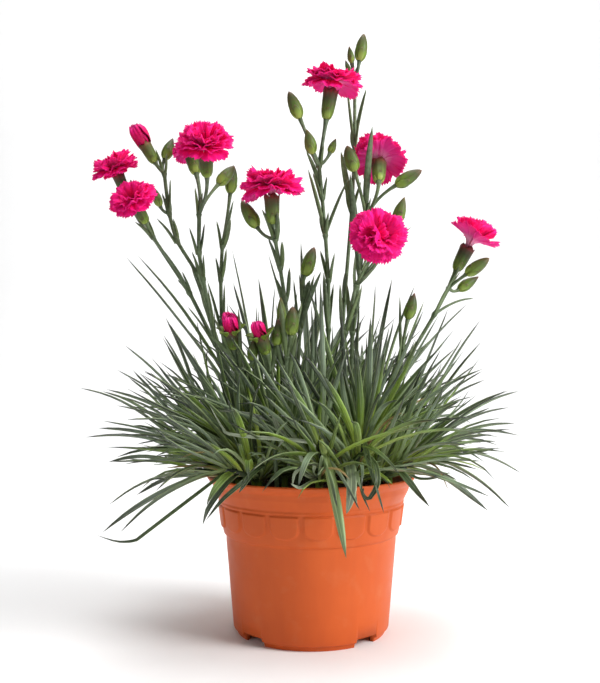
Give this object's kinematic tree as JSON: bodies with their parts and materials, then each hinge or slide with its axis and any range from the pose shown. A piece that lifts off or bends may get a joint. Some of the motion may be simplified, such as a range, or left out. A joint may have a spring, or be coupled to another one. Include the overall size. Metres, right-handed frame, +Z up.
{
  "type": "dianthus plant in a pot",
  "caption": "Potted garden pink: a low mound of narrow grey-green leaves with jointed stems of fringed magenta blooms and buds in a round plastic nursery pot.",
  "frame": {"origin": "on the surface it stands on, under the middle of the plant and the axis of the pot", "axes": "+Z up along the pot's axis, -Y towards the front of the plant, +X to the right seen from the front"},
  "size_m": [0.276, 0.24, 0.382],
  "materials": {
    "pot_plastic": "satin",
    "compost": "matte",
    "leaf": "matte",
    "stem": "matte",
    "petal": "matte",
    "opening_petal": "matte"
  },
  "bodies": {
    "root": {"pot": "pot_plastic", "compost": "compost", "leafy_shoot_01": "leaf", "leafy_shoot_02": "leaf", "leafy_shoot_03": "leaf", "leafy_shoot_04": "leaf", "leafy_shoot_05": "leaf", "leafy_shoot_06": "leaf", "leafy_shoot_07": "leaf", "leafy_shoot_08": "leaf", "leafy_shoot_09": "leaf", "leafy_shoot_10": "leaf", "leafy_shoot_11": "leaf", "leafy_shoot_12": "leaf", "leafy_shoot_13": "leaf", "leafy_shoot_14": "leaf", "leafy_shoot_15": "leaf", "leafy_shoot_16": "leaf", "leafy_shoot_17": "leaf", "leafy_shoot_18": "leaf", "leafy_shoot_19": "leaf", "leafy_shoot_20": "leaf", "flower_stem_01": "stem", "flower_stem_02": "stem", "flower_stem_03": "stem", "flower_stem_04": "stem", "flower_stem_05": "stem", "flower_stem_06": "stem", "flower_stem_07": "stem", "flower_stem_08": "stem", "flower_stem_09": "stem", "flower_stem_10": "stem", "flower_stem_11": "stem", "flower_stem_12": "stem", "flower_stem_13": "stem", "flower_stem_14": "stem", "flower_stem_15": "stem", "bloom_01": "petal", "bloom_02": "petal", "bloom_03": "opening_petal", "bloom_04": "petal", "bloom_05": "petal", "bloom_06": "petal", "bloom_07": "petal", "bloom_08": "petal", "bloom_09": "petal", "bloom_10": "petal", "bloom_11": "opening_petal", "bloom_12": "opening_petal"}
  },
  "joints": []
}
